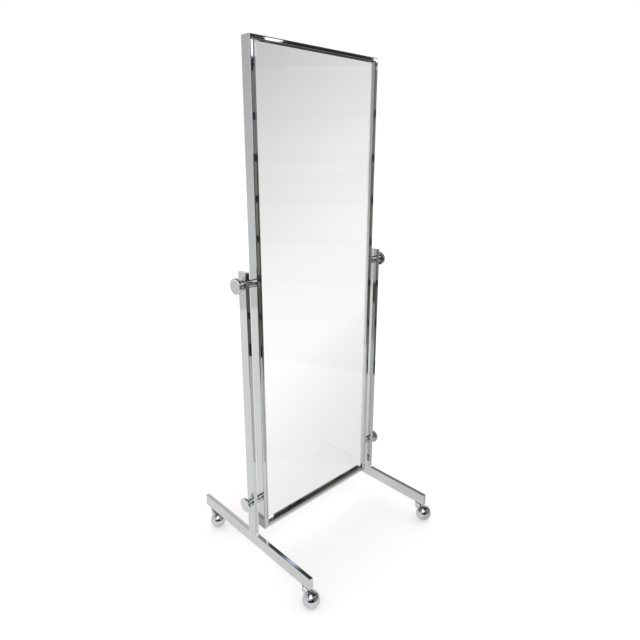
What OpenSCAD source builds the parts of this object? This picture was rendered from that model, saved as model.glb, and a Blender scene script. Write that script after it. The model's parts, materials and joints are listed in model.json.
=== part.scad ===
// Rolling floor mirror: a deep chromed frame with a recessed glass, hung between
// two separate T-shaped side stands. The two upper knobs are its tilt pivots, the
// two lower knobs are screws that press a collar against the frame, and each leg
// rolls on two ball casters.
// Millimetres, +Z up. The mirror faces -Y. The origin is on the floor, under the
// middle of the whole object.

/* [Mirror] */
// Width of the mirror frame
mirror_w = 476; // [420:1:560]
// Height of the mirror frame
mirror_h = 1404; // [1250:1:1480]
// Height of the frame's lower edge above the floor
mirror_clear = 96; // [80:1:130]
// Depth of the frame from front to back
frame_depth = 34; // [30:0.5:45]
// Width of the frame's front face
frame_face = 16; // [14:0.5:22]
// Depth of the glass behind the frame's front face
glass_recess = 10; // [8:0.5:12]
// Sheet thickness of the frame section
frame_wall = 1.6; // [1.2:0.1:2]
// Radius of the frame's two front edges
frame_edge_r = 3; // [1:0.1:3.2]
// Width of the bead along the inner edge of the frame's front face
bead_w = 4; // [3.5:0.25:6]
// Radius of the bead's two front edges
bead_r = 1.6; // [0.4:0.1:1.7]
// Width of the frame's rear return
frame_return = 12; // [10:0.5:14]
// Clearance between the glass's edges and the tapped plates in the frame
edge_gap = 0.9; // [0.4:0.1:1.5]
// Thickness of the mirror glass
glass_t = 5; // [4:0.5:6]
// Thickness of the backing board
board_t = 3.2; // [2.5:0.1:5]
// How far the frame's middle stands in front of the posts' middle
mirror_ahead = 0; // [0:0.5:5]

/* [Frame fittings] */
// Length of each leg of a corner key
key_leg = 40; // [25:1:60]
// Chord length of a spring clip
clip_len = 60; // [50:1:80]
// Width of a spring clip
clip_w = 10; // [8:0.5:12]
// Thickness of a spring clip
clip_t = 0.8; // [0.5:0.1:1.2]
// Number of spring clips on each side member
clips_per_side = 4; // [2:1:5]
// Distance of the upper and lower rails' clips from the middle
clip_offset = 120; // [80:1:150]
// Length of a setting block
block_len = 50; // [30:1:80]
// Distance of the setting blocks from the middle
block_offset = 130; // [90:1:160]
// Height of the tapped plate inside each side member
plate_h = 36; // [24:1:50]
// Thickness of that tapped plate
plate_t = 4; // [3:0.1:4.5]

/* [Stand] */
// Gap between the mirror frame and each post
side_gap = 25.5; // [20:0.5:32]
// Thickness of the posts and legs across the mirror
post_t = 13; // [12.5:0.5:18]
// Width of a post from front to back
post_w = 34; // [28:1:44]
// Height of the posts' tops above the floor
post_top = 924; // [915:1:980]
// Length of a leg from front to back
leg_len = 524; // [460:1:600]
// Height of a leg's section
leg_h = 39; // [34:0.5:48]
// Height of a leg's underside above the floor
leg_clear = 57; // [57:0.5:65]
// Wall thickness of the post and leg tubes
tube_wall = 1.5; // [1:0.1:1.6]
// Outer corner radius of the post and leg tubes
tube_r = 1.8; // [1.7:0.1:2.5]
// Thickness of the plates that close the tubes
cap_t = 2; // [1.5:0.1:3]

/* [Knobs] */
// Height of the tilt pivots above the floor
pivot_z = 888; // [860:1:890]
// Height of the lock screws above the floor
lock_z = 207; // [160:1:300]
// Diameter of a knob's head
knob_d = 45; // [36:1:55]
// Thickness of a knob's head
knob_t = 8; // [6:0.5:11]
// Radius of the rim's edges on a knob's head
knob_edge_r = 1.6; // [0.8:0.1:2.5]
// Diameter of a knob's neck
neck_d = 23; // [18:0.5:28]
// Length of a knob's neck
neck_len = 14.7; // [12:0.1:20]
// Diameter of the collars between the posts and the frame
collar_d = 23; // [18:0.5:28]
// Diameter of the knob studs
stud_d = 8; // [6:0.5:9]
// Depth of a stud in its knob
stud_seat = 12; // [8:0.5:16]
// Thickness of a friction washer
washer_t = 1; // [0.6:0.1:1.6]
// Diameter of a friction washer
washer_d = 26; // [22:0.5:30]
// Wall of the bushes and threaded sleeves in the posts
bush_wall = 2; // [1.5:0.1:3]
// Travel of a lock collar when its knob is turned back
lock_travel = 1; // [0.5:0.05:2]
// Depth of a lock screw's tip in its collar
lock_tip = 15; // [8:0.5:18]

/* [Casters] */
// Diameter of a caster's ball
ball_d = 51; // [48:0.5:51]
// Distance from the swivel axis to the ball's middle
trail = 28; // [27:0.5:32]
// Distance of the swivel axis from the leg's end
stem_inset = 29; // [24:0.5:40]
// Diameter of a caster's stem
stem_d = 8; // [7:0.1:8]
// Length of the stem above the leg's underside
stem_len = 26; // [20:0.5:30]
// Tilt of a ball's axle below the horizontal, in degrees
axle_tilt = 40; // [35:1:45]
// Radius of the web that blends the hood into its boss
web_r = 9; // [7:0.5:10]
// Slope of the line from the ball's middle to the web's lower end, in degrees
web_slope = 52; // [45:1:60]
// Distance of the web below the boss's top
web_drop = 2; // [1:0.5:5]
// Diameter of a ball's axle
axle_d = 6; // [5:0.1:8]
// Length of the axle in the wheel half
axle_reach = 16; // [12:0.5:18]
// Wall of the caster's hood
hood_wall = 2.3; // [1.8:0.1:3]
// Wall of the caster's wheel half
wheel_wall = 3.2; // [2.5:0.1:4]
// Diameter of the hubs on the axle
hub_d = 14; // [12:0.5:16]
// Diameter of the hood's stem boss
boss_d = 14; // [12:0.5:16]
// Height of the boss's lower end above the ball's middle
boss_rise = 10; // [10:0.5:12]
// Depth of the stem in the boss
stem_seat = 15; // [10:0.5:16]
// Wall of the sleeve that holds the stem in the leg
socket_wall = 0.9; // [0.6:0.1:0.9]
// Thickness of that sleeve's flange and end
socket_rim = 1.5; // [1:0.1:2]

/* [Clearances] */
// Radial running clearance of every turning pin
run_fit = 0.05; // [0.02:0.01:0.1]
// Gap between faces that turn on each other
face_gap = 0.1; // [0.05:0.05:0.3]
// Gap between a lock collar and the frame at rest
lock_gap = 0.3; // [0.3:0.05:0.6]
// Clearance of the corner keys in the frame
key_fit = 0.2; // [0.1:0.05:0.4]
// Clearance of a lock knob in front of its post
knob_gap = 0.5; // [0.4:0.05:1]
// Gap between the hood and the wheel half
split_gap = 0.5; // [0.3:0.05:1]
// Clearance of the caster's boss under its sleeve
swivel_gap = 0.3; // [0.2:0.05:0.6]
// Small overlap that merges the shapes of one piece
weld = 0.01; // [0.01:0.01:0.05]

/* [Hidden] */
$fn = 96;
blend_fn = 28;

ball_r = ball_d / 2;
stud_r = stud_d / 2;
stem_r = stem_d / 2;
axle_r = axle_d / 2;

// Hardware
socket_r = stem_r + run_fit + socket_wall;
socket_top = leg_clear + stem_len + face_gap + socket_rim;
boss_top = leg_clear - socket_rim - swivel_gap;
bush_r = stud_r + run_fit + bush_wall;
lock_collar_len = side_gap - lock_gap - lock_travel - lock_gap;
flange_r = post_t / 2 - face_gap;

// Heights
leg_top = leg_clear + leg_h;
mirror_top = mirror_clear + mirror_h;

// Distances from the middle plane, outwards
frame_side = mirror_w / 2;
post_in = frame_side + side_gap;
post_out = post_in + post_t;
post_mid = post_in + post_t / 2;
neck_in = post_out + washer_t + 2 * face_gap;
lock_neck_in = post_out + knob_gap;
plate_in = frame_side - frame_wall - plate_t;
clip_in = frame_wall + plate_t + key_fit;

// Distances from front to back, from the posts' middle
stem_y = leg_len / 2 - stem_inset;
front_reach = stem_y + trail + ball_r;
rear_reach = max(leg_len / 2, stem_y - trail + ball_r);
base_y = (front_reach - rear_reach) / 2;
frame_front = -frame_depth / 2 - mirror_ahead;
plate_front = max(-bush_r, frame_front + glass_recess + key_fit);

// Depths behind the frame's front face
board_front = glass_recess + glass_t;
board_back = board_front + board_t;
return_front = frame_depth - frame_wall;
glass_in = frame_wall + plate_t + edge_gap;
cell_w = frame_face - bead_w;

LEFT = -1;
RIGHT = 1;
FRONT = -1;
REAR = 1;

// ---- shared shapes ----

// Rectangle with round corners, centred
module rounded_rect(w, h, r) {
    square([w - 2 * r, h], center = true);
    square([w, h - 2 * r], center = true);
    for (x = [-1, 1], y = [-1, 1])
        translate([x * (w / 2 - r), y * (h / 2 - r)])
            circle(r);
}

// Ring-shaped section of a tube with round corners
module tube_section(w, h) {
    difference() {
        rounded_rect(w, h, tube_r);
        rounded_rect(w - 2 * tube_wall, h - 2 * tube_wall, tube_r - tube_wall);
    }
}

// Puts a shape turned about Z onto a crosswise axis: it starts at distance x from
// the middle plane and grows outwards, at height z
module outward(side, x, z) {
    translate([side * x, base_y, z])
        rotate([0, 90 * side, 0])
            children();
}

module ring(length, r_out, r_in) {
    difference() {
        cylinder(r = r_out, h = length);
        translate([0, 0, -1])
            cylinder(r = r_in, h = length + 2);
    }
}

// ---- stand ----

// Leg tube, lying from front to back, with two holes for the caster sleeves
module leg(side) {
    color("silver")
        difference() {
            translate([side * post_mid, base_y + leg_len / 2 - cap_t, leg_clear + leg_h / 2])
                rotate([90, 0, 0])
                    linear_extrude(leg_len - 2 * cap_t)
                        tube_section(post_t, leg_h);
            for (end = [FRONT, REAR])
                translate([side * post_mid, base_y + end * stem_y, leg_clear - 1])
                    cylinder(r = socket_r, h = tube_wall + 2);
        }
}

// Plates welded flush into both ends of both legs
module leg_caps() {
    color("silver")
        for (side = [LEFT, RIGHT], end = [FRONT, REAR])
            translate([side * post_mid, base_y + end * (leg_len - cap_t) / 2, leg_clear + leg_h / 2])
                rotate([90, 0, 0])
                    linear_extrude(cap_t, center = true)
                        rounded_rect(post_t, leg_h, tube_r);
}

// Post tube, standing on the leg, bored for the pivot bush and the lock sleeve
module post(side) {
    color("silver")
        difference() {
            translate([side * post_mid, base_y, leg_top])
                linear_extrude(post_top - leg_top - cap_t)
                    tube_section(post_t, post_w);
            for (z = [pivot_z, lock_z])
                outward(side, post_in - 1, z)
                    cylinder(r = bush_r, h = post_t + 2);
        }
}

module post_caps() {
    color("silver")
        for (side = [LEFT, RIGHT])
            translate([side * post_mid, base_y, post_top - cap_t])
                linear_extrude(cap_t)
                    rounded_rect(post_t, post_w, tube_r);
}

// Plain bush or threaded sleeve right through a post
module post_sleeve(side, z) {
    outward(side, post_in, z)
        ring(post_t, bush_r, stud_r + run_fit);
}

module pivot_bush(side) {
    color("goldenrod")
        post_sleeve(side, pivot_z);
}

module lock_sleeve(side) {
    color("goldenrod")
        post_sleeve(side, lock_z);
}

// Blind sleeve that carries a caster's stem inside the leg
module socket(side, end) {
    color("dimgray")
        translate([side * post_mid, base_y + end * stem_y, 0])
            difference() {
                union() {
                    translate([0, 0, leg_clear - socket_rim])
                        cylinder(r = flange_r, h = socket_rim);
                    translate([0, 0, leg_clear - weld])
                        cylinder(r = socket_r, h = socket_top - leg_clear + weld);
                }
                translate([0, 0, leg_clear - socket_rim - 1])
                    cylinder(r = stem_r + run_fit, h = socket_top - leg_clear + 1);
            }
}

// ---- mirror frame ----

// Section of a frame member: x runs inwards from the frame's outer side and y
// backwards from its front face
module frame_section() {
    difference() {
        union() {
            rounded_front(0, cell_w, frame_edge_r);
            translate([0, frame_edge_r])
                square([frame_wall, frame_depth - frame_edge_r]);
            translate([0, return_front])
                square([frame_return, frame_wall]);
        }
        translate([frame_wall, frame_wall])
            square([cell_w - 2 * frame_wall, glass_recess - 2 * frame_wall]);
    }
}

module bead_section() {
    rounded_front(cell_w, bead_w, bead_r);
}

// Block from the frame's front face to the glass, with its two front edges rounded
module rounded_front(start, w, r) {
    translate([start + r, 0])
        square([w - 2 * r, glass_recess]);
    translate([start, r])
        square([w, glass_recess - r]);
    for (x = [start + r, start + w - r])
        translate([x, r])
            circle(r);
}

// Wedge that leaves one member, mitred at both ends, with its outer side at z = 0
module mitre_wedge(length) {
    inner = max(frame_face, frame_return) + 1;
    rotate([90, 0, 0])
        linear_extrude(3 * frame_depth, center = true)
            polygon([
                [-length / 2 - 1, -1], [length / 2 + 1, -1],
                [length / 2 - inner, inner], [-length / 2 + inner, inner]
            ]);
}

// Lower rail of a section, with its outer side at z = 0 and its front face at y = 0
module rail(length) {
    intersection() {
        rotate([0, -90, 0])
            linear_extrude(length, center = true)
                children();
        mitre_wedge(length);
    }
}

// Same rail turned upright: its outer side is at x = 0 and it grows towards +X
module upright(length) {
    rotate([0, 90, 0])
        rail(length)
            children();
}

// Puts a section's upright at one side of the frame
module at_side(side) {
    translate([side * frame_side, base_y + frame_front, mirror_clear + mirror_h / 2])
        mirror([side == RIGHT ? 1 : 0, 0, 0])
            upright(mirror_h)
                children();
}

// Puts a section's rail at the foot or the head of the frame
module at_rail(at_top) {
    translate([0, base_y + frame_front, at_top ? mirror_top : mirror_clear])
        mirror([0, 0, at_top ? 1 : 0])
            rail(mirror_w)
                children();
}

module frame_side_member(side) {
    color("silver")
        difference() {
            at_side(side)
                frame_section();
            outward(side, frame_side - frame_wall - weld, pivot_z)
                cylinder(r = stud_r + 2 * run_fit, h = frame_wall + 1);
        }
}

module frame_rail(at_top) {
    color("silver")
        at_rail(at_top)
            frame_section();
}

// Mitred strips that trim the frame's inner edge in front of the glass
module side_bead(side) {
    color("silver")
        at_side(side)
            bead_section();
}

module rail_bead(at_top) {
    color("silver")
        at_rail(at_top)
            bead_section();
}

// Angle pieces that join the hollow front of the members at the four corners
module corner_keys() {
    low = frame_wall + key_fit;
    high = cell_w - frame_wall - key_fit;
    color("gray")
        for (side = [LEFT, RIGHT], up = [0, 1])
            translate([
                side * frame_side,
                base_y + frame_front + glass_recess - frame_wall - key_fit,
                up ? mirror_top : mirror_clear
            ])
                mirror([side == RIGHT ? 1 : 0, 0, 0])
                    mirror([0, 0, up])
                        rotate([90, 0, 0])
                            linear_extrude(glass_recess - 2 * frame_wall - 2 * key_fit)
                                polygon([
                                    [low, low], [low + key_leg, low], [low + key_leg, high],
                                    [high, high], [high, low + key_leg], [low, low + key_leg]
                                ]);
}

// Sheet that fills the frame behind its front face
module sheet(front, thickness) {
    translate([
        -frame_side + glass_in,
        base_y + frame_front + front,
        mirror_clear + glass_in
    ])
        cube([mirror_w - 2 * glass_in, thickness, mirror_h - 2 * glass_in]);
}

module mirror_glass() {
    color("lightcyan")
        sheet(glass_recess, glass_t);
}

module backing_board() {
    color("peru")
        sheet(board_front, board_t);
}

// Blocks that carry the edges of the glass and the board in the lower rail
module setting_blocks() {
    color("darkslategray")
        for (side = [LEFT, RIGHT])
            translate([
                side * block_offset - block_len / 2,
                base_y + frame_front + glass_recess,
                mirror_clear + frame_wall
            ])
                cube([block_len, glass_t + board_t, glass_in - frame_wall]);
}

// Bowed strip between the board and the rear return, lying along x, with its
// outer edge at z = 0
module clip() {
    rise = return_front - board_back;
    bow_r = (pow(clip_len / 2, 2) + pow(rise, 2)) / (2 * rise);
    linear_extrude(clip_w)
        intersection() {
            translate([0, return_front - bow_r])
                difference() {
                    circle(bow_r);
                    circle(bow_r - clip_t);
                }
            translate([-clip_len / 2, board_back])
                square([clip_len, rise]);
        }
}

module spring_clips() {
    pitch = mirror_h / clips_per_side;
    color("lightgray")
        translate([0, base_y + frame_front, 0]) {
            for (side = [LEFT, RIGHT], i = [0 : clips_per_side - 1])
                translate([side * (frame_side - clip_in), 0, mirror_clear + (i + 0.5) * pitch])
                    rotate([0, -90 * side, 0])
                        clip();
            for (side = [LEFT, RIGHT]) {
                translate([side * clip_offset, 0, mirror_clear + clip_in])
                    clip();
                translate([side * clip_offset, 0, mirror_top - clip_in])
                    mirror([0, 0, 1])
                        clip();
            }
        }
}

// ---- pivots and locks ----

// Tapped plate inside a side member, which a pivot stud screws into. It lies
// behind the member's hollow front
module pivot_plate(side) {
    color("gray")
        difference() {
            translate([
                side * (frame_side - frame_wall - plate_t / 2) - plate_t / 2,
                base_y + plate_front,
                pivot_z - plate_h / 2
            ])
                cube([plate_t, bush_r - plate_front, plate_h]);
            outward(side, plate_in - 1, pivot_z)
                cylinder(r = stud_r + run_fit, h = plate_t + 2);
        }
}

module pivot_collar(side) {
    color("silver")
        outward(side, frame_side, pivot_z)
            ring(side_gap - face_gap, collar_d / 2, stud_r + 2 * run_fit);
}

module pivot_washer(side) {
    color("black")
        outward(side, post_out + face_gap, pivot_z)
            ring(washer_t, washer_d / 2, stud_r + 2 * run_fit);
}

// Knob with a flat head and a narrower neck, growing outwards from the neck's end
module knob() {
    head_r = knob_d / 2;
    neck_r = neck_d / 2;
    difference() {
        rotate_extrude() {
            square([neck_r, neck_len + weld]);
            translate([0, neck_len])
                square([head_r - knob_edge_r, knob_t]);
            translate([0, neck_len + knob_edge_r])
                square([head_r, knob_t - 2 * knob_edge_r]);
            for (z = [knob_edge_r, knob_t - knob_edge_r])
                translate([head_r - knob_edge_r, neck_len + z])
                    circle(knob_edge_r);
        }
        translate([0, 0, -1])
            cylinder(r = stud_r, h = stud_seat + 1);
    }
}

module pivot_knob(side) {
    color("silver")
        outward(side, neck_in, pivot_z)
            knob();
}

module pivot_stud(side) {
    color("gray")
        outward(side, plate_in, pivot_z)
            cylinder(r = stud_r, h = neck_in - plate_in + stud_seat);
}

// Collar that a lock screw presses against the frame
module lock_collar(side) {
    color("silver")
        outward(side, frame_side + lock_gap, lock_z)
            difference() {
                cylinder(r = collar_d / 2, h = lock_collar_len);
                translate([0, 0, lock_collar_len - lock_tip])
                    cylinder(r = stud_r + run_fit, h = lock_tip + 1);
            }
}

module lock_knob(side) {
    color("silver")
        outward(side, lock_neck_in, lock_z)
            knob();
}

module lock_stud(side) {
    start = frame_side + lock_gap + lock_collar_len - lock_tip + face_gap;
    color("gray")
        outward(side, start, lock_z)
            cylinder(r = stud_r, h = lock_neck_in - start + stud_seat);
}

// ---- casters ----

// Turns and moves a shape so that its +Z lies along the ball's axle, from the
// hood's side to the wheel's side, with the origin at the ball's middle
module on_axle(side, end) {
    translate([side * post_mid, base_y + end * stem_y - trail, ball_r])
        rotate([0, 90 + axle_tilt, 0])
            children();
}

// Half of a hollow ball on the upper and rear side, with a boss for the stem
module hood(side, end) {
    boss_low = ball_r + boss_rise;
    web_reach = ball_r - web_r - weld;
    web_top = boss_top - web_drop;
    color("silver")
        difference() {
            union() {
                on_axle(side, end)
                    sphere(ball_r);
                translate([side * post_mid, base_y + end * stem_y, boss_low])
                    cylinder(r = boss_d / 2, h = boss_top - boss_low);
                translate([side * post_mid, base_y + end * stem_y, ball_r])
                    hull() {
                        translate([0, 0, boss_rise])
                            cylinder(r = boss_d / 2 - weld, h = web_top - boss_low, $fn = blend_fn);
                        translate([
                            0,
                            web_reach * cos(web_slope) - trail,
                            web_reach * sin(web_slope)
                        ])
                            sphere(web_r, $fn = blend_fn);
                    }
            }
            on_axle(side, end) {
                difference() {
                    sphere(ball_r - hood_wall);
                    translate([0, 0, -ball_r])
                        cylinder(r = hub_d / 2, h = ball_r);
                }
                translate([0, 0, -split_gap / 2])
                    cylinder(r = 2 * ball_r, h = 2 * ball_r);
                translate([0, 0, -ball_r + hood_wall])
                    cylinder(r = axle_r, h = ball_r);
            }
            translate([side * post_mid, base_y + end * stem_y, boss_top - stem_seat])
                cylinder(r = stem_r, h = stem_seat + 1);
        }
}

module stem(side, end) {
    color("gray")
        translate([side * post_mid, base_y + end * stem_y, boss_top - stem_seat])
            cylinder(r = stem_r, h = leg_clear + stem_len - boss_top + stem_seat);
}

module axle(side, end) {
    color("gray")
        on_axle(side, end)
            translate([0, 0, -ball_r + hood_wall])
                cylinder(r = axle_r, h = ball_r - hood_wall + axle_reach);
}

// The other half of the ball, which turns on the axle and carries the load
module wheel(side, end) {
    color("silver")
        on_axle(side, end)
            rotate_extrude()
                difference() {
                    union() {
                        difference() {
                            intersection() {
                                circle(ball_r);
                                translate([0, split_gap / 2])
                                    square([ball_r, ball_r]);
                            }
                            circle(ball_r - wheel_wall);
                        }
                        translate([0, split_gap / 2])
                            square([hub_d / 2, ball_r - wheel_wall - split_gap / 2]);
                    }
                    translate([-1, -1])
                        square([1 + axle_r + run_fit, 1 + axle_reach + face_gap]);
                }
}

// ---- pieces ----

leg(LEFT);  // left_leg
leg(RIGHT);  // right_leg
leg_caps();
post(LEFT);  // left_post
post(RIGHT);  // right_post
post_caps();
pivot_bush(LEFT);  // left_pivot_bush
pivot_bush(RIGHT);  // right_pivot_bush
lock_sleeve(LEFT);  // left_lock_sleeve
lock_sleeve(RIGHT);  // right_lock_sleeve
socket(LEFT, FRONT);  // front_left_socket
socket(LEFT, REAR);  // rear_left_socket
socket(RIGHT, FRONT);  // front_right_socket
socket(RIGHT, REAR);  // rear_right_socket

frame_side_member(LEFT);  // frame_left
frame_side_member(RIGHT);  // frame_right
frame_rail(true);  // frame_top
frame_rail(false);  // frame_bottom
corner_keys();
side_bead(LEFT);  // bead_left
side_bead(RIGHT);  // bead_right
rail_bead(true);  // bead_top
rail_bead(false);  // bead_bottom
mirror_glass();
backing_board();
setting_blocks();
spring_clips();

pivot_plate(LEFT);  // left_pivot_plate
pivot_plate(RIGHT);  // right_pivot_plate
pivot_collar(LEFT);  // left_pivot_collar
pivot_collar(RIGHT);  // right_pivot_collar
pivot_washer(LEFT);  // left_pivot_washer
pivot_washer(RIGHT);  // right_pivot_washer
pivot_knob(LEFT);  // left_pivot_knob
pivot_knob(RIGHT);  // right_pivot_knob
pivot_stud(LEFT);  // left_pivot_stud
pivot_stud(RIGHT);  // right_pivot_stud
lock_collar(LEFT);  // left_lock_collar
lock_collar(RIGHT);  // right_lock_collar
lock_knob(LEFT);  // left_lock_knob
lock_knob(RIGHT);  // right_lock_knob
lock_stud(LEFT);  // left_lock_stud
lock_stud(RIGHT);  // right_lock_stud

hood(LEFT, FRONT);  // front_left_hood
stem(LEFT, FRONT);  // front_left_stem
axle(LEFT, FRONT);  // front_left_axle
wheel(LEFT, FRONT);  // front_left_wheel
hood(LEFT, REAR);  // rear_left_hood
stem(LEFT, REAR);  // rear_left_stem
axle(LEFT, REAR);  // rear_left_axle
wheel(LEFT, REAR);  // rear_left_wheel
hood(RIGHT, FRONT);  // front_right_hood
stem(RIGHT, FRONT);  // front_right_stem
axle(RIGHT, FRONT);  // front_right_axle
wheel(RIGHT, FRONT);  // front_right_wheel
hood(RIGHT, REAR);  // rear_right_hood
stem(RIGHT, REAR);  // rear_right_stem
axle(RIGHT, REAR);  // rear_right_axle
wheel(RIGHT, REAR);  // rear_right_wheel
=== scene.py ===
"""Looks of the rolling floor mirror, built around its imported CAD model."""

import json
import math

import bmesh
import bpy
from mathutils import Matrix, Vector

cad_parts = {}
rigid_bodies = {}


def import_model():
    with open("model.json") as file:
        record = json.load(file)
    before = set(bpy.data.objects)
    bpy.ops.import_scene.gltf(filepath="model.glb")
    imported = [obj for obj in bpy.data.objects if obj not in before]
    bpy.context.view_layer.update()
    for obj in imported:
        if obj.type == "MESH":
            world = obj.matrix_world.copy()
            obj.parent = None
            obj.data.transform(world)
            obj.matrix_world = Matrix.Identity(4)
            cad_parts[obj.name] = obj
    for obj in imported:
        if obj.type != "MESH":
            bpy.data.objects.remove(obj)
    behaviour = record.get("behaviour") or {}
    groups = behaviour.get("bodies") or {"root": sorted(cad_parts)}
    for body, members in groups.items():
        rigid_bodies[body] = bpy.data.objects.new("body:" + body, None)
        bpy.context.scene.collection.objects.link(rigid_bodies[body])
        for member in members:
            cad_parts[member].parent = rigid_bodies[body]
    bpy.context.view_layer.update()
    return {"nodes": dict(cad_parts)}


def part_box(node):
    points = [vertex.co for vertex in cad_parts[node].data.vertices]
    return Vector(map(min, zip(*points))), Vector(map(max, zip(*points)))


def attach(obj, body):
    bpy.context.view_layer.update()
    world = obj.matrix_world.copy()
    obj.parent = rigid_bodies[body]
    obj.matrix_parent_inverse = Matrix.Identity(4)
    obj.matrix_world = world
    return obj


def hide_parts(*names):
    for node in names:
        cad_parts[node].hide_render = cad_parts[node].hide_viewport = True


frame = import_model()
nodes = frame["nodes"]

SIDES = {"left": -1, "right": 1}
CASTERS = ("front_left", "rear_left", "front_right", "rear_right")


# ---- materials ----


class NodeTree:
    """Short ways to add and join the nodes of a material or a world."""

    def __init__(self, tree):
        self.tree = tree

    def node(self, kind, **settings):
        made = self.tree.nodes.new(kind)
        for name, value in settings.items():
            setattr(made, name, value)
        return made

    def join(self, source, target):
        self.tree.links.new(source, target)

    def maths(self, operation, *values):
        """One sum on two values, each a number or a socket."""
        made = self.node("ShaderNodeMath", operation=operation)
        for socket, value in zip(made.inputs, values):
            if isinstance(value, (int, float)):
                socket.default_value = value
            else:
                self.join(value, socket)
        return made.outputs["Value"]

    def span(self, value, low, high, start=0.0, end=1.0):
        """value, moved from start..end to low..high and held there."""
        span = self.node("ShaderNodeMapRange")
        self.join(value, span.inputs["Value"])
        span.inputs["From Min"].default_value = start
        span.inputs["From Max"].default_value = end
        span.inputs["To Min"].default_value = low
        span.inputs["To Max"].default_value = high
        return span.outputs["Result"]

    def ramp(self, value, *stops):
        """Colours by value: each stop is (place, (r, g, b))."""
        ramp = self.node("ShaderNodeValToRGB")
        marks = ramp.color_ramp.elements
        for mark, (place, colour) in zip(marks, (stops[0], stops[-1])):
            mark.position = place
            mark.color = (*colour, 1)
        for place, colour in stops[1:-1]:
            marks.new(place).color = (*colour, 1)
        self.join(value, ramp.inputs["Fac"])
        return ramp.outputs["Color"]

    def mixed(self, share, first, second):
        """Colour between a colour socket and a second one, or a plain (r, g, b)."""
        mix = self.node("ShaderNodeMix", data_type="RGBA")
        self.join(share, mix.inputs["Factor"])
        self.join(first, mix.inputs[6])
        if isinstance(second, tuple):
            mix.inputs[7].default_value = (*second, 1)
        else:
            self.join(second, mix.inputs[7])
        return mix.outputs[2]


class Finish(NodeTree):
    """A material, its shader, and patterns that follow the object."""

    def __init__(self, name):
        self.material = bpy.data.materials.new(name)
        self.material.use_nodes = True
        super().__init__(self.material.node_tree)
        self.shader = self.tree.nodes["Principled BSDF"]
        self.output = self.tree.nodes["Material Output"]
        self.place = self.node("ShaderNodeTexCoord").outputs["Object"]

    def set(self, **values):
        """Sets the shader's own sockets: base_color=..., roughness=..."""
        for name, value in values.items():
            self.shader.inputs[name.replace("_", " ").title()].default_value = value

    def moved(self, centre=(0, 0, 0), turn=(0, 0, 0)):
        """Makes the patterns that follow start at centre, turned by degrees."""
        centred = self.node("ShaderNodeMapping")
        centred.inputs["Location"].default_value = [-value for value in centre]
        self.join(self.place, centred.inputs["Vector"])
        angles = [math.radians(angle) for angle in turn]
        turned = self.node("ShaderNodeMapping")
        turned.inputs["Rotation"].default_value = angles
        self.join(centred.outputs["Vector"], turned.inputs["Vector"])
        self.place = turned.outputs["Vector"]

    def along(self, axis):
        """Distance along one axis of the place."""
        split = self.node("ShaderNodeSeparateXYZ")
        self.join(self.place, split.inputs["Vector"])
        return split.outputs[axis]

    def noise(self, scale, stretch=(1, 1, 1), detail=3.0, roughness=0.5):
        """Noise in object space, drawn out along the axes where stretch is small."""
        mapping = self.node("ShaderNodeMapping")
        mapping.inputs["Scale"].default_value = stretch
        self.join(self.place, mapping.inputs["Vector"])
        noise = self.node("ShaderNodeTexNoise")
        noise.inputs["Scale"].default_value = scale
        noise.inputs["Detail"].default_value = detail
        noise.inputs["Roughness"].default_value = roughness
        self.join(mapping.outputs["Vector"], noise.inputs["Vector"])
        return noise.outputs["Fac"]

    def rings(self, pitch):
        """Rings round the X axis, one every pitch metres."""
        wave = self.node("ShaderNodeTexWave", wave_type="RINGS", rings_direction="X")
        wave.inputs["Scale"].default_value = math.pi / (10 * pitch)
        wave.inputs["Distortion"].default_value = 0.6
        wave.inputs["Detail"].default_value = 1.0
        self.join(self.place, wave.inputs["Vector"])
        return wave.outputs["Fac"]

    def bump(self, height, strength, distance, under=None):
        """Relief by height, on top of the relief under it."""
        bump = self.node("ShaderNodeBump")
        bump.inputs["Strength"].default_value = strength
        bump.inputs["Distance"].default_value = distance
        self.join(height, bump.inputs["Height"])
        if under is not None:
            self.join(under, bump.inputs["Normal"])
        return bump.outputs["Normal"]

    def colour(self, socket):
        self.join(socket, self.shader.inputs["Base Color"])

    def rough(self, socket):
        self.join(socket, self.shader.inputs["Roughness"])

    def relief(self, socket):
        self.join(socket, self.shader.inputs["Normal"])


ALONG_X = (0.04, 1, 1)
ALONG_Y = (1, 0.04, 1)
ALONG_Z = (1, 1, 0.04)
ROUND = (1, 1, 1)

PLATE_DARK = (0.555, 0.565, 0.565)
PLATE_LIGHT = (0.595, 0.598, 0.61)


def plated(finish, lines, smooth, waves, spots=None):
    """Chromium plate over a polished surface: faint grey clouds, polishing lines,
    dull spots, and metal that is never quite flat under the plating. The spots are
    those of handling, unless others are given."""
    finish.set(metallic=1.0)
    clouds = finish.noise(9.0, detail=2.0)
    finish.colour(finish.ramp(clouds, (0.3, PLATE_DARK), (0.7, PLATE_LIGHT)))
    if spots is None:
        spots = finish.span(finish.noise(38.0, detail=4.0), 0.0, 0.06, 0.6, 0.8)
    polish = finish.span(lines, *smooth, 0.35, 0.65)
    finish.rough(finish.maths("ADD", polish, spots))
    wave = finish.bump(finish.noise(14.0, detail=1.0), waves, 0.0004)
    finish.relief(finish.bump(lines, 0.025, 0.0002, wave))


def tube_chrome(name, grain, smooth=(0.018, 0.045), waves=0.12):
    """Chrome on tube or strip, polished along its length."""
    finish = Finish(name)
    plated(finish, finish.noise(420.0, grain, detail=2.0), smooth, waves)
    return finish.material


LATHE_PITCH = 0.0009


def turned_chrome(name, centre):
    """Chrome on a turned piece, with faint rings round its axis."""
    finish = Finish(name)
    finish.moved(centre)
    plated(finish, finish.rings(LATHE_PITCH), (0.03, 0.06), 0.05)
    return finish.material


SCUFF_REACH = 0.0045  # from the middle of the dulled band to its edges


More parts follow.
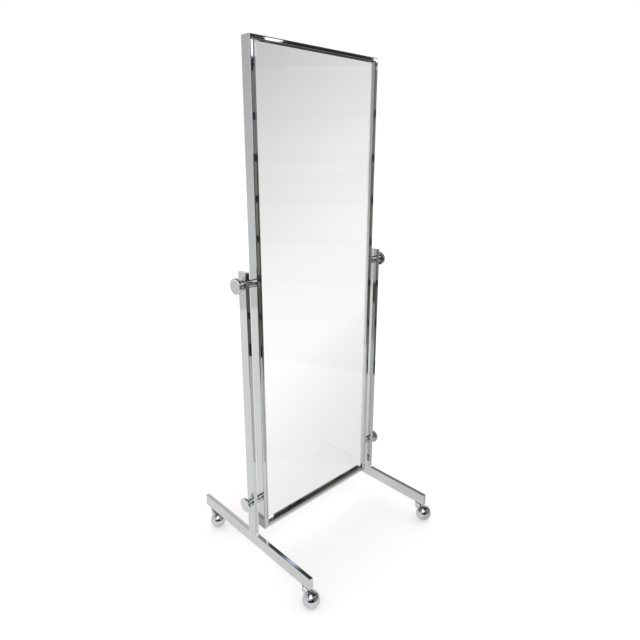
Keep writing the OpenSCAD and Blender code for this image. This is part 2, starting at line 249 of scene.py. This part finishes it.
def rolling_chrome(name, centre, axle_tilt, contact):
    """Chrome on the rolling half of a ball, dulled in a band where it meets the
    floor. contact is that band's distance from the ball's middle along the axle."""
    finish = Finish(name)
    finish.moved(centre, (0, axle_tilt - 90, 0))
    away = finish.maths("SUBTRACT", finish.along("Z"), contact)
    away = finish.maths("ABSOLUTE", away)
    scuffed = finish.span(away, 0.16, 0.0, 0.0, SCUFF_REACH)
    patchy = finish.maths("MULTIPLY", scuffed, finish.noise(160.0, detail=4.0))
    plated(finish, finish.noise(300.0, detail=2.0), (0.03, 0.07), 0.06, patchy)
    return finish.material


def zinc_steel():
    """Zinc-plated steel: cool grey with faint yellow and blue clouds."""
    finish = Finish("zinc_steel")
    finish.set(metallic=1.0)
    clouds = finish.noise(60.0, detail=4.0)
    finish.colour(
        finish.ramp(
            clouds,
            (0.3, (0.50, 0.51, 0.55)),
            (0.5, (0.56, 0.56, 0.57)),
            (0.72, (0.60, 0.58, 0.52)),
        )
    )
    fine = finish.noise(900.0, detail=2.0)
    finish.rough(finish.span(fine, 0.26, 0.40))
    finish.relief(finish.bump(fine, 0.15, 0.0002))
    return finish.material


def spring_steel():
    """Oiled spring strip, rolled along its length, with darker oily patches."""
    finish = Finish("oiled_spring_steel")
    finish.set(metallic=1.0)
    oil = finish.noise(90.0, detail=5.0)
    finish.colour(
        finish.ramp(oil, (0.35, (0.28, 0.28, 0.31)), (0.65, (0.46, 0.46, 0.46)))
    )
    rolled = finish.noise(700.0, ALONG_Z, detail=2.0)
    finish.rough(finish.span(rolled, 0.22, 0.42))
    finish.relief(finish.bump(rolled, 0.2, 0.0002))
    return finish.material


def turned_brass():
    """Brass on the bushes and sleeves, faintly tarnished, with fine tool marks."""
    finish = Finish("turned_brass")
    finish.set(metallic=1.0)
    tarnish = finish.noise(120.0, detail=4.0)
    finish.colour(
        finish.ramp(tarnish, (0.35, (0.62, 0.49, 0.24)), (0.65, (0.78, 0.63, 0.34)))
    )
    cut = finish.noise(800.0, ALONG_Y, detail=2.0)
    finish.rough(finish.span(cut, 0.18, 0.34))
    finish.relief(finish.bump(cut, 0.2, 0.0002))
    return finish.material


def hardboard():
    """Pressed brown board: matted fibres, faint stains and a fine wire-mesh print."""
    finish = Finish("hardboard")
    fibres = finish.noise(240.0, (1, 1, 0.3), detail=8.0, roughness=0.7)
    stains = finish.noise(7.0, detail=3.0)
    light = finish.ramp(fibres, (0.3, (0.27, 0.17, 0.10)), (0.7, (0.46, 0.31, 0.20)))
    dark = finish.ramp(fibres, (0.3, (0.22, 0.14, 0.085)), (0.7, (0.39, 0.26, 0.16)))
    finish.colour(finish.mixed(finish.span(stains, 0, 1, 0.35, 0.65), light, dark))
    finish.rough(finish.span(fibres, 0.62, 0.85))
    mesh_print = finish.node("ShaderNodeTexVoronoi", feature="F1", distance="CHEBYCHEV")
    mesh_print.inputs["Scale"].default_value = 420.0
    mesh_print.inputs["Randomness"].default_value = 0.15
    finish.join(finish.place, mesh_print.inputs["Vector"])
    pressed = finish.bump(mesh_print.outputs["Distance"], 0.4, 0.0005)
    finish.relief(finish.bump(fibres, 0.3, 0.0003, pressed))
    return finish.material


def dull(name, low, high, grain, smooth, depth):
    """Dull moulded or pressed material between two colours."""
    finish = Finish(name)
    speckle = finish.noise(grain, detail=6.0, roughness=0.6)
    finish.colour(finish.ramp(speckle, (0.3, low), (0.7, high)))
    finish.rough(finish.span(speckle, *smooth))
    finish.relief(finish.bump(speckle, 0.25, depth))
    return finish.material


def clear_glass():
    """Float glass with the faint long waves that it is drawn with."""
    finish = Finish("clear_glass")
    finish.set(
        base_color=(0.975, 0.981, 0.978, 1),
        roughness=0.0,
        transmission_weight=1.0,
    )
    finish.shader.inputs["IOR"].default_value = 1.52
    finish.relief(finish.bump(finish.noise(3.0, (1, 1, 0.4), detail=1.0), 0.05, 0.0002))
    return finish.material


def silver():
    """Silver coat behind the glass, with very faint clouds."""
    finish = Finish("silver_coat")
    finish.set(metallic=1.0, roughness=0.0)
    age = finish.noise(4.0, detail=3.0)
    finish.colour(
        finish.ramp(age, (0.3, (0.968, 0.967, 0.968)), (0.7, (0.976, 0.974, 0.976)))
    )
    return finish.material


# ---- making pieces ----


def mesh_object(name, shape, *materials):
    """Turns a bmesh into an object at the origin."""
    mesh = bpy.data.meshes.new(name)
    shape.to_mesh(mesh)
    shape.free()
    made = bpy.data.objects.new(name, mesh)
    bpy.context.scene.collection.objects.link(made)
    for material in materials:
        mesh.materials.append(material)
    return made


def arc(along, radius, bend, start, end, steps=6):
    """Points of a rounded edge in an outline, round (along, radius), in degrees from
    the axis towards the outside."""
    points = []
    for step in range(steps + 1):
        angle = math.radians(start + (end - start) * step / steps)
        points.append((along + bend * math.cos(angle), radius + bend * math.sin(angle)))
    return points


SMOOTH_BELOW = math.radians(32)
ROUND_STEPS = 96


def turned(name, outline, start, outwards, height, depth, material):
    """Spins a closed outline of (along, radius) round a crosswise axis. along is
    measured outwards from x = start."""
    shape = bmesh.new()
    verts = [
        shape.verts.new((start + outwards * along, depth, height + radius))
        for along, radius in outline
    ]
    edges = [shape.edges.new((a, b)) for a, b in zip(verts, verts[1:] + verts[:1])]
    bmesh.ops.spin(
        shape,
        geom=verts + edges,
        cent=(start, depth, height),
        axis=(1, 0, 0),
        angle=math.tau,
        steps=ROUND_STEPS,
        use_merge=True,
    )
    bmesh.ops.recalc_face_normals(shape, faces=shape.faces)
    for face in shape.faces:
        face.smooth = True
    made = mesh_object(name, shape, material)
    made.data.set_sharp_from_angle(angle=SMOOTH_BELOW)
    return made


# ---- the mirror glass ----

# Room behind the silver for its backing paint
PAINT_DEPTH = 0.00012
PAINT_GAP = 0.00004
GLASS_ARRIS = 0.0006


def mirror_pane():
    """Pane whose rear face carries the silver, with its edges ground off."""
    low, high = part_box("mirror_glass")
    high.y -= PAINT_DEPTH + PAINT_GAP
    shape = bmesh.new()
    bmesh.ops.create_cube(shape, size=1)
    bmesh.ops.scale(shape, vec=high - low, verts=shape.verts)
    bmesh.ops.translate(shape, vec=(low + high) / 2, verts=shape.verts)
    bmesh.ops.bevel(
        shape,
        geom=shape.edges[:],
        offset=GLASS_ARRIS,
        affect="EDGES",
        segments=1,
        profile=0.5,
        material=-1,
    )
    shape.normal_update()
    for face in shape.faces:
        face.material_index = 1 if face.normal.y > 0.9 else 0
    pane = mesh_object("mirror_pane", shape, clear_glass(), silver())
    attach(pane, "mirror")
    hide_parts("mirror_glass")


# ---- knobs and collars ----

STUD_RADIUS = 0.004
NECK_RADIUS = 0.0115
NECK_LENGTH = 0.0147
NECK_CHAMFER = 0.0006
UNDER_FILLET = 0.0012
HEAD_RADIUS = 0.0225
HEAD_THICKNESS = 0.008
HEAD_EDGE = 0.0016
RIM_WIDTH = 0.0022
RIM_STEP = 0.0003
COLLAR_CHAMFER = 0.0005
STUD_BORE = 0.0041


def knob_outline():
    """Neck, filleted into the underside of a flat head with a round edge, whose
    face is turned down a little inside a narrow rim."""
    top = NECK_LENGTH + HEAD_THICKNESS
    edge = HEAD_RADIUS - HEAD_EDGE
    rim = edge - RIM_WIDTH
    outline = [(0, STUD_RADIUS), (0, NECK_RADIUS - NECK_CHAMFER)]
    outline += [(NECK_CHAMFER, NECK_RADIUS)]
    fillet = NECK_LENGTH - UNDER_FILLET, NECK_RADIUS + UNDER_FILLET
    outline += arc(*fillet, UNDER_FILLET, -90, 0)
    outline += arc(NECK_LENGTH + HEAD_EDGE, edge, HEAD_EDGE, 180, 90)
    outline += arc(top - HEAD_EDGE, edge, HEAD_EDGE, 90, 0)
    outline += [(top, rim + HEAD_EDGE), (top - RIM_STEP, rim)]
    outline += [(top - RIM_STEP, STUD_RADIUS), (top - RIM_STEP, 0)]
    return outline


def knob(side, name, height, depth, body, material):
    """Knob that replaces a CAD knob and keeps its neck's end and its overall size."""
    low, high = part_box(name)
    outwards = SIDES[side]
    neck_end = low.x if outwards > 0 else high.x
    shape = turned(
        name + "_turned", knob_outline(), neck_end, outwards, height, depth, material
    )
    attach(shape, body)
    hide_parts(name)


def collar(name, height, depth, body, material):
    """Collar between a post and the frame, with its ends chamfered."""
    low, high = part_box(name)
    length = high.x - low.x
    radius = (high.z - low.z) / 2
    outline = [
        (0, STUD_BORE),
        (0, radius - COLLAR_CHAMFER),
        (COLLAR_CHAMFER, radius),
        (length - COLLAR_CHAMFER, radius),
        (length, radius - COLLAR_CHAMFER),
        (length, STUD_BORE),
    ]
    shape = turned(name + "_turned", outline, low.x, 1, height, depth, material)
    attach(shape, body)
    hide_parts(name)


def knobs_and_collars():
    """Pivot knobs above and lock knobs below, on both sides, with their collars."""
    for level in ("pivot", "lock"):
        low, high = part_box(f"left_{level}_knob")
        middle = (low + high) / 2
        material = turned_chrome(f"{level}_knob_chrome", (0, middle.y, middle.z))
        for side in SIDES:
            name = f"{side}_{level}_knob"
            body = f"{side}_{level}_screw"
            knob(side, name, middle.z, middle.y, body, material)
            name = f"{side}_{level}_collar"
            body = "mirror" if level == "pivot" else f"{side}_lock_pad"
            collar(name, middle.z, middle.y, body, material)


# ---- finishes of the CAD nodes ----

BALL_RADIUS = 0.0255
TRAIL = 0.028  # how far the ball stands in front of its stem
AXLE_TILT = 40  # degrees from level


def paint(material, *names):
    """Puts one material on CAD nodes."""
    for name in names:
        for slot in nodes[name].material_slots:
            slot.material = material


SHOWN_IN_GLASS = ("frame_left", "frame_bottom", "bead_left", "bead_bottom")


def left_out_of_glass():
    """The glass mirrors an evenly pale room and two sides of its frame, and none of
    the stand."""
    shown = [nodes[name] for name in SHOWN_IN_GLASS]
    shown.append(bpy.data.objects["mirror_pane"])
    for piece in bpy.context.scene.objects:
        if piece not in shown:
            piece.visible_transmission = False


def finish_stand():
    paint(tube_chrome("leg_chrome", ALONG_Y), "left_leg", "right_leg", "leg_caps")
    paint(tube_chrome("post_chrome", ALONG_Z), "left_post", "right_post", "post_caps")
    brass = turned_brass()
    for side in SIDES:
        paint(brass, f"{side}_pivot_bush", f"{side}_lock_sleeve")


BEAD_POLISH = (0.015, 0.035)
HOOD_POLISH = (0.04, 0.08)
RUBBER_DARK, RUBBER_LIGHT = (0.035, 0.035, 0.037), (0.07, 0.07, 0.07)
FIBRE_DARK, FIBRE_LIGHT = (0.09, 0.08, 0.075), (0.19, 0.165, 0.15)
NYLON_DARK, NYLON_LIGHT = (0.03, 0.03, 0.032), (0.055, 0.055, 0.06)


def finish_frame():
    side_bead = tube_chrome("side_bead_chrome", ALONG_Z, BEAD_POLISH)
    rail_bead = tube_chrome("rail_bead_chrome", ALONG_X, BEAD_POLISH)
    paint(tube_chrome("frame_side_chrome", ALONG_Z), "frame_left", "frame_right")
    paint(tube_chrome("frame_rail_chrome", ALONG_X), "frame_top", "frame_bottom")
    paint(side_bead, "bead_left", "bead_right")
    paint(rail_bead, "bead_top", "bead_bottom")
    paint(hardboard(), "backing_board")
    paint(spring_steel(), "spring_clips")
    rubber = dull("block_rubber", RUBBER_DARK, RUBBER_LIGHT, 500, (0.7, 0.9), 0.0002)
    paint(rubber, "setting_blocks")


def finish_fittings():
    zinc = zinc_steel()
    fibre = dull("washer_fibre", FIBRE_DARK, FIBRE_LIGHT, 350, (0.7, 0.9), 0.0003)
    paint(zinc, "corner_keys")
    for side in SIDES:
        paint(zinc, f"{side}_pivot_plate", f"{side}_pivot_stud", f"{side}_lock_stud")
        paint(fibre, f"{side}_pivot_washer")


def finish_casters():
    zinc = zinc_steel()
    nylon = dull("sleeve_nylon", NYLON_DARK, NYLON_LIGHT, 260, (0.38, 0.55), 0.0001)
    hood = tube_chrome("hood_chrome", ROUND, HOOD_POLISH)
    contact = BALL_RADIUS * math.sin(math.radians(AXLE_TILT))
    for caster in CASTERS:
        low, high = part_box(f"{caster}_stem")
        stem = (low + high) / 2
        centre = (stem.x, stem.y - TRAIL, BALL_RADIUS)
        ball = rolling_chrome(f"{caster}_ball_chrome", centre, -AXLE_TILT, contact)
        paint(zinc, f"{caster}_stem", f"{caster}_axle")
        paint(nylon, f"{caster}_socket")
        paint(hood, f"{caster}_hood")
        paint(ball, f"{caster}_wheel")


mirror_pane()
knobs_and_collars()
finish_stand()
finish_frame()
finish_fittings()
finish_casters()
left_out_of_glass()


# ---- stage, light and camera ----

CAMERA_PLACE = (-1.0691, -1.0985, 1.2144)
CAMERA_YAW = 43.618
CAMERA_PITCH = -16.627
LENS = 29.13
SHIFT_RIGHT = 0.0095
SHIFT_UP = -0.0111


def glow(name, colour, strength=1.0):
    """Material that only shines."""
    finish = Finish(name)
    finish.tree.nodes.remove(finish.shader)
    shine = finish.node("ShaderNodeEmission")
    shine.inputs["Color"].default_value = (*colour, 1)
    shine.inputs["Strength"].default_value = strength
    finish.join(shine.outputs["Emission"], finish.output.inputs["Surface"])
    return finish.material


def faded_glow(name, *stops):
    """Material that only shines, in colours by height: (metres up, (r, g, b))."""
    finish = Finish(name)
    finish.tree.nodes.remove(finish.shader)
    share = finish.span(finish.along("Z"), 0.0, 1.0, 0.0, ROOM_TOP)
    colours = finish.ramp(share, *[(up / ROOM_TOP, colour) for up, colour in stops])
    shine = finish.node("ShaderNodeEmission")
    finish.join(colours, shine.inputs["Color"])
    finish.join(shine.outputs["Emission"], finish.output.inputs["Surface"])
    return finish.material


def card(name, corners, material):
    """Flat stage panel that the metal and the glass's front face mirror, and the
    silver behind the glass doesn't. Its corners are (right, ahead, up) as the camera
    stands, in metres from the object's foot."""
    shape = bmesh.new()
    shape.faces.new([shape.verts.new(corner) for corner in corners])
    shape.transform(Matrix.Rotation(math.radians(-CAMERA_YAW), 4, "Z"))
    panel = mesh_object(name, shape, material)
    panel.visible_camera = False
    panel.visible_diffuse = False
    panel.visible_shadow = False
    panel.visible_transmission = False


def upright_card(name, start, end, low, high, material):
    """Panel between two floor points (right, ahead), from height low to height high."""
    corners = [(*start, low), (*end, low), (*end, high), (*start, high)]
    card(name, corners, material)


def level_card(name, aheads, near_edge, far_edge, height, material):
    """Panel at one height. Each edge is its two ends (right from, right to), and
    aheads are the distances ahead of the near edge and the far one."""
    near, far = aheads
    corners = [(right, near, height) for right in near_edge]
    corners += [(right, far, height) for right in reversed(far_edge)]
    card(name, corners, material)


ROOM_LEFT = -3.0
ROOM_RIGHT = 3.4
ROOM_BEHIND_CAMERA = -2.8
ROOM_AHEAD = 3.6
ROOM_TOP = 3.3
BACKDROP_TOP = 1.9
PALE_END = -0.68  # the wall above the backdrop is pale up to here
DARK_WALL_ENDS = (-1.9, 1.9)  # middle of the wall behind the camera

# The right wall is lit up to WALL_TOP and darker above. Ahead of UNLIT_START it has
# a nearly black strip there.
WALL_TOP = 1.95
UNLIT_START = -0.45
UNLIT_LOW = 1.98
UNLIT_HIGH = 2.28

WINDOW_LOW = 1.25
WINDOW_HIGH = 2.6
WINDOW_END = 0.0  # the window behind the camera, from the left wall
SIDE_WINDOW_END = -1.2  # the window in the left wall, from behind the camera
WINDOW_GAP = 0.05

# The white paper on the floor ends on the right, at a slanted edge that comes
# nearer for each metre ahead, with a dark strip along it.
PAPER_EDGE = 1.377
EDGE_SLANT = 0.327
SHADE_REACH = 0.22
SHADE_ENDS = (-0.70, 0.42)
PAPER_NEAR = 0.35  # it looks duller from here on to the right
PAPER_FRONT = -1.45  # and it ends here, before the camera
DULL_HEIGHT = 0.001
BARE_HEIGHT = 0.002
SHADE_HEIGHT = 0.003

# Dark rungs of a rack that stands near the paper's edge, on the right. Their pitch
# is a little smaller at the top. The first one isn't there: the strip takes its place.
RUNG_COUNT = 7
RUNG_FIRST = 0.052
RUNG_PITCH = 0.2305
RUNG_SHIFT = 0.0024
RUNG_THICKNESS = 0.040
RUNG_START = (1.525, -0.85)
RUNG_END = (1.305, 0.60)

# Soft box above and behind the camera, wide at its near end: right from, right to
SOFT_BOX_HEIGHT = 2.4
SOFT_BOX_AHEADS = (-2.7, -0.4)
SOFT_BOX_NEAR = (-1.6, 1.2)
SOFT_BOX_FAR = (-0.6, 0.0)

# Patches of the right wall: (ahead from, ahead to, lowest, highest)
DARK_PATCH = (-0.95, -0.42, 1.95, 2.75)  # unlit wall round the first two lamps
SOFT_BOX_RIGHT = (-1.5, -0.62, 2.46, 3.2)
LAMPS = {
    "low": (-0.92, -0.665, 2.06, 2.19),
    "middle": (-0.60, -0.45, 2.165, 2.40),
    "ahead": (0.33, 0.52, 2.00, 2.40),
}
PATCH_GAP = 0.03
LAMP_GAP = 0.05
SOFT_BOX_GAP = 0.06

# Dark patches of the ceiling: ahead from and to, right from and to
DARK_CEILINGS = {
    "right": ((-1.1, 1.8), (0.7, ROOM_RIGHT)),
    "left": ((-0.9, 1.2), (-2.4, -1.2)),
}
CEILING_GAP = 0.03

DARK = glow("dark_room", (0.03, 0.03, 0.035))
OLIVE = glow("olive_room", (0.275, 0.275, 0.245))
UPPER_OLIVE = glow("upper_olive", (0.17, 0.17, 0.14))


def paper_edge(ahead):
    """Distance to the right at which the paper ends."""
    return PAPER_EDGE - EDGE_SLANT * ahead


def stage_walls():
    """Pale on the left and ahead, darker on the right and behind the camera."""
    left, right, near, ahead = ROOM_LEFT, ROOM_RIGHT, ROOM_BEHIND_CAMERA, ROOM_AHEAD
    pale = faded_glow(
        "pale_wall",
        (0.0, (0.90, 0.90, 0.90)),
        (0.8, (0.86, 0.865, 0.86)),
        (1.5, (0.74, 0.75, 0.75)),
        (2.4, (0.66, 0.67, 0.66)),
    )
    backdrop = glow("backdrop_paper", (0.95, 0.95, 0.96))
    above = glow("above_backdrop", (0.30, 0.30, 0.31))
    above_left = glow("above_backdrop_left", (0.78, 0.78, 0.79))
    dark_start, dark_end = DARK_WALL_ENDS
    walls = {
        "left_wall": ((left, near), (left, ahead), 0, ROOM_TOP, pale),
        "backdrop": ((left, ahead), (right, ahead), 0, BACKDROP_TOP, backdrop),
        "above_backdrop_left": (
            (left, ahead), (PALE_END, ahead), BACKDROP_TOP, ROOM_TOP, above_left
        ),
        "above_backdrop": (
            (PALE_END, ahead), (right, ahead), BACKDROP_TOP, ROOM_TOP, above
        ),
        "right_wall": ((right, near), (right, ahead), 0, WALL_TOP, OLIVE),
        "above_right_wall": (
            (right, near), (right, UNLIT_START), WALL_TOP, ROOM_TOP, UPPER_OLIVE
        ),
        "unlit_right_wall": (
            (right, UNLIT_START), (right, ahead), UNLIT_LOW, UNLIT_HIGH, DARK
        ),
        "above_unlit_wall": (
            (right, UNLIT_START), (right, ahead), UNLIT_HIGH, ROOM_TOP, UPPER_OLIVE
        ),
        "camera_wall_left": ((left, near), (dark_start, near), 0, ROOM_TOP, above_left),
        "camera_wall": ((dark_start, near), (dark_end, near), 0, ROOM_TOP, DARK),
        "camera_wall_right": ((dark_end, near), (right, near), 0, ROOM_TOP, OLIVE),
    }
    for name, settings in walls.items():
        upright_card(name, *settings)


def stage_windows():
    """A window behind the camera and one beside it."""
    window = glow("window_light", (0.84, 0.83, 0.98), 1.1)
    left, near = ROOM_LEFT, ROOM_BEHIND_CAMERA
    inner = near + WINDOW_GAP
    heights = WINDOW_LOW, WINDOW_HIGH
    upright_card("window", (left, inner), (WINDOW_END, inner), *heights, window)
    inner = left + WINDOW_GAP
    ends = (inner, near), (inner, SIDE_WINDOW_END)
    upright_card("side_window", *ends, *heights, window)


def right_wall_patch(name, patch, gap, material):
    """Panel this far in front of the right wall."""
    start, end, low, high = patch
    inner = ROOM_RIGHT - gap
    upright_card(name, (inner, start), (inner, end), low, high, material)


def stage_lamps():
    """Soft box overhead, and lights on the right wall with unlit wall round them."""
    bright = glow("soft_box_cloth", (1.0, 0.97, 1.0), 2.2)
    level_card(
        "soft_box_overhead",
        SOFT_BOX_AHEADS,
        SOFT_BOX_NEAR,
        SOFT_BOX_FAR,
        SOFT_BOX_HEIGHT,
        bright,
    )
    right_wall_patch("dark_patch", DARK_PATCH, PATCH_GAP, DARK)
    right_wall_patch("soft_box_right", SOFT_BOX_RIGHT, SOFT_BOX_GAP, bright)
    for name, patch in LAMPS.items():
        right_wall_patch(f"{name}_lamp", patch, LAMP_GAP, bright)


def stage_ceiling():
    """Grey ceiling with two dark patches."""
    ceiling = glow("grey_ceiling", (0.34, 0.34, 0.35))
    unlit = glow("dark_ceiling", (0.04, 0.04, 0.045))
    aheads, sides = (ROOM_BEHIND_CAMERA, ROOM_AHEAD), (ROOM_LEFT, ROOM_RIGHT)
    level_card("ceiling", aheads, sides, sides, ROOM_TOP, ceiling)
    for side, (aheads, sides) in DARK_CEILINGS.items():
        height = ROOM_TOP - CEILING_GAP
        level_card(f"dark_ceiling_{side}", aheads, sides, sides, height, unlit)


def stage_ground():
    """Dull paper, and bare floor beyond its edge and before the camera."""
    paper = glow("dull_paper", (0.68, 0.68, 0.67))
    bare = glow("bare_floor", (0.155, 0.155, 0.125))
    near_floor = glow("near_floor", (0.09, 0.09, 0.085))
    right = ROOM_RIGHT
    aheads = PAPER_FRONT, ROOM_AHEAD
    front, back = [paper_edge(ahead) for ahead in aheads]
    near_edge, far_edge = (PAPER_NEAR, front), (PAPER_NEAR, back)
    level_card("dull_paper", aheads, near_edge, far_edge, DULL_HEIGHT, paper)
    level_card("bare_floor", aheads, (front, right), (back, right), BARE_HEIGHT, bare)
    shade = [(edge, edge + SHADE_REACH) for edge in map(paper_edge, SHADE_ENDS)]
    level_card("shaded_floor", SHADE_ENDS, *shade, SHADE_HEIGHT, DARK)
    aheads, sides = (ROOM_BEHIND_CAMERA, PAPER_FRONT), (ROOM_LEFT, right)
    level_card("near_floor", aheads, sides, sides, BARE_HEIGHT, near_floor)


def stage_rungs():
    """Rungs of the rack above the dark strip."""
    for count in range(1, RUNG_COUNT):
        shift = RUNG_SHIFT * count * (RUNG_COUNT - 1 - count)
        low = RUNG_FIRST + RUNG_PITCH * count + shift - RUNG_THICKNESS / 2
        high = low + RUNG_THICKNESS
        upright_card(f"rung_{count}", RUNG_START, RUNG_END, low, high, DARK)


FLOOR_COLOUR = 0.80
FLOOR_HALF = 30
LIFT_SEEN = 0.34  # light that the floor adds for the camera
LIFT_IN_METAL = 0.29  # and for reflections in the metal

# How bright the glass sees the floor: beside the mirror, and NEAR_REACH in front of
# it, along a line that slants to the left
GLASS_SEES_NEAR = (0.845, 1.075)
NEAR_REACH = 0.72
NEAR_SLANT = -0.5
# The same far off, and how much brighter it is at one metre
GLASS_SEES_FAR = (0.77, 0.40)
FAR_FADING = -0.36
# Far off it is brighter to the right of SIDE_MIDDLE and darker to its left, down to
# SIDE_LEFTMOST. Both are shares of straight to the right.
SIDE_MIDDLE = 0.69
SIDE_LEFTMOST = 0.48
SIDE_SHARE = 0.9
SIDE_REACH = (2.2, 9.0)  # distances where that starts and where it is complete


def stage_floor():
    """Large white floor with the object's soft shadow. The glass sees it without
    shadows, a little darker beside the mirror, in the distance and to the left."""
    finish = Finish("white_floor")
    finish.set(base_color=(FLOOR_COLOUR, FLOOR_COLOUR, FLOOR_COLOUR, 1), roughness=0.9)
    finish.shader.inputs["Specular IOR Level"].default_value = 0.0
    path = finish.node("ShaderNodeLightPath")
    seen = finish.maths("MULTIPLY", path.outputs["Is Camera Ray"], LIFT_SEEN)
    mirrored = finish.maths("MULTIPLY", path.outputs["Is Glossy Ray"], LIFT_IN_METAL)
    lift = finish.node("ShaderNodeEmission")
    finish.join(finish.maths("MAXIMUM", seen, mirrored), lift.inputs["Strength"])
    lifted = finish.node("ShaderNodeAddShader")
    finish.join(finish.shader.outputs["BSDF"], lifted.inputs[0])
    finish.join(lift.outputs["Emission"], lifted.inputs[1])

    length = finish.node("ShaderNodeVectorMath", operation="LENGTH")
    finish.join(finish.place, length.inputs[0])
    reach = length.outputs["Value"]
    across = finish.along("X")
    slanted = finish.maths("MULTIPLY", across, NEAR_SLANT)
    in_front = finish.maths("SUBTRACT", slanted, finish.along("Y"))
    near = finish.span(in_front, *GLASS_SEES_NEAR, 0.0, NEAR_REACH)
    level, nearer = GLASS_SEES_FAR
    fading = finish.maths("POWER", reach, FAR_FADING)
    far = finish.maths("MULTIPLY", fading, nearer)
    side = finish.maths("DIVIDE", across, reach)
    side = finish.maths("MAXIMUM", side, SIDE_LEFTMOST)
    side = finish.maths("SUBTRACT", side, SIDE_MIDDLE)
    share = finish.span(reach, 0.0, SIDE_SHARE, *SIDE_REACH)
    far = finish.maths("ADD", far, finish.maths("MULTIPLY", side, share))
    far = finish.maths("ADD", far, level)
    even = finish.node("ShaderNodeEmission")
    finish.join(finish.maths("MINIMUM", near, far), even.inputs["Strength"])
    both = finish.node("ShaderNodeMixShader")
    finish.join(path.outputs["Is Transmission Ray"], both.inputs[0])
    finish.join(lifted.outputs["Shader"], both.inputs[1])
    finish.join(even.outputs["Emission"], both.inputs[2])
    finish.join(both.outputs["Shader"], finish.output.inputs["Surface"])
    shape = bmesh.new()
    bmesh.ops.create_grid(shape, x_segments=1, y_segments=1, size=FLOOR_HALF)
    mesh_object("floor", shape, finish.material)


# The bright strip, as shares of straight up and of straight to the right
STRIP_HEIGHT = 0.673
STRIP_REACH = 0.009
STRIP_START = 0.3
STRIP_COLOUR = (0.95, 1.15, 1.5)

# The sky's colours by height, which also counts how far a direction is to the left
SKY_SIDE = 1.2
SKY_LOW = -0.2
SKY_SPAN = 1.6
SKY_STOPS = (
    (0.09, (0.93, 0.93, 0.93)),
    (0.30, (0.61, 0.61, 0.61)),
    (0.52, (0.23, 0.22, 0.17)),
    (0.62, (0.075, 0.07, 0.065)),
)


def stage_world():
    """White all round for the camera and for soft light. The glass and the metal see
    it darker with height and lighter to the right, with one bright strip high up
    that shows on a leg's top."""
    world = bpy.data.worlds.new("studio")
    bpy.context.scene.world = world
    world.use_nodes = True
    sky = NodeTree(world.node_tree)
    way = sky.node("ShaderNodeTexCoord")
    split = sky.node("ShaderNodeSeparateXYZ")
    sky.join(way.outputs["Generated"], split.inputs["Vector"])
    up, across = split.outputs["Z"], split.outputs["X"]
    side = sky.maths("MAXIMUM", across, SIDE_LEFTMOST)
    side = sky.maths("SUBTRACT", side, SIDE_MIDDLE)
    side = sky.maths("MULTIPLY", side, SKY_SIDE)
    height = sky.maths("SUBTRACT", up, side)
    height = sky.maths("SUBTRACT", height, SKY_LOW)
    height = sky.maths("DIVIDE", height, SKY_SPAN)
    colours = sky.ramp(height, *SKY_STOPS)
    away = sky.maths("ABSOLUTE", sky.maths("SUBTRACT", up, STRIP_HEIGHT))
    away = sky.maths("MINIMUM", sky.maths("DIVIDE", away, STRIP_REACH), 1.0)
    strip = sky.maths("SUBTRACT", 1.0, away)
    strip = sky.maths("MULTIPLY", strip, sky.maths("GREATER_THAN", across, STRIP_START))
    seen = sky.mixed(strip, colours, STRIP_COLOUR)
    path = sky.node("ShaderNodeLightPath")
    rays = path.outputs["Is Camera Ray"], path.outputs["Is Diffuse Ray"]
    plain = sky.maths("MAXIMUM", *rays)
    back = sky.tree.nodes["Background"]
    sky.join(sky.mixed(plain, seen, (1, 1, 1)), back.inputs["Color"])
    back.inputs["Strength"].default_value = 1.0


def set_camera():
    camera = bpy.data.objects.new("camera", bpy.data.cameras.new("camera"))
    bpy.context.scene.collection.objects.link(camera)
    camera.location = CAMERA_PLACE
    camera.rotation_euler = (
        math.radians(90 + CAMERA_PITCH),
        0,
        math.radians(-CAMERA_YAW),
    )
    camera.data.lens = LENS
    camera.data.shift_x = SHIFT_RIGHT
    camera.data.shift_y = SHIFT_UP
    bpy.context.scene.camera = camera


stage_world()
stage_walls()
stage_windows()
stage_ceiling()
stage_lamps()
stage_ground()
stage_rungs()
stage_floor()
set_camera()
bpy.context.scene.view_settings.view_transform = "Standard"
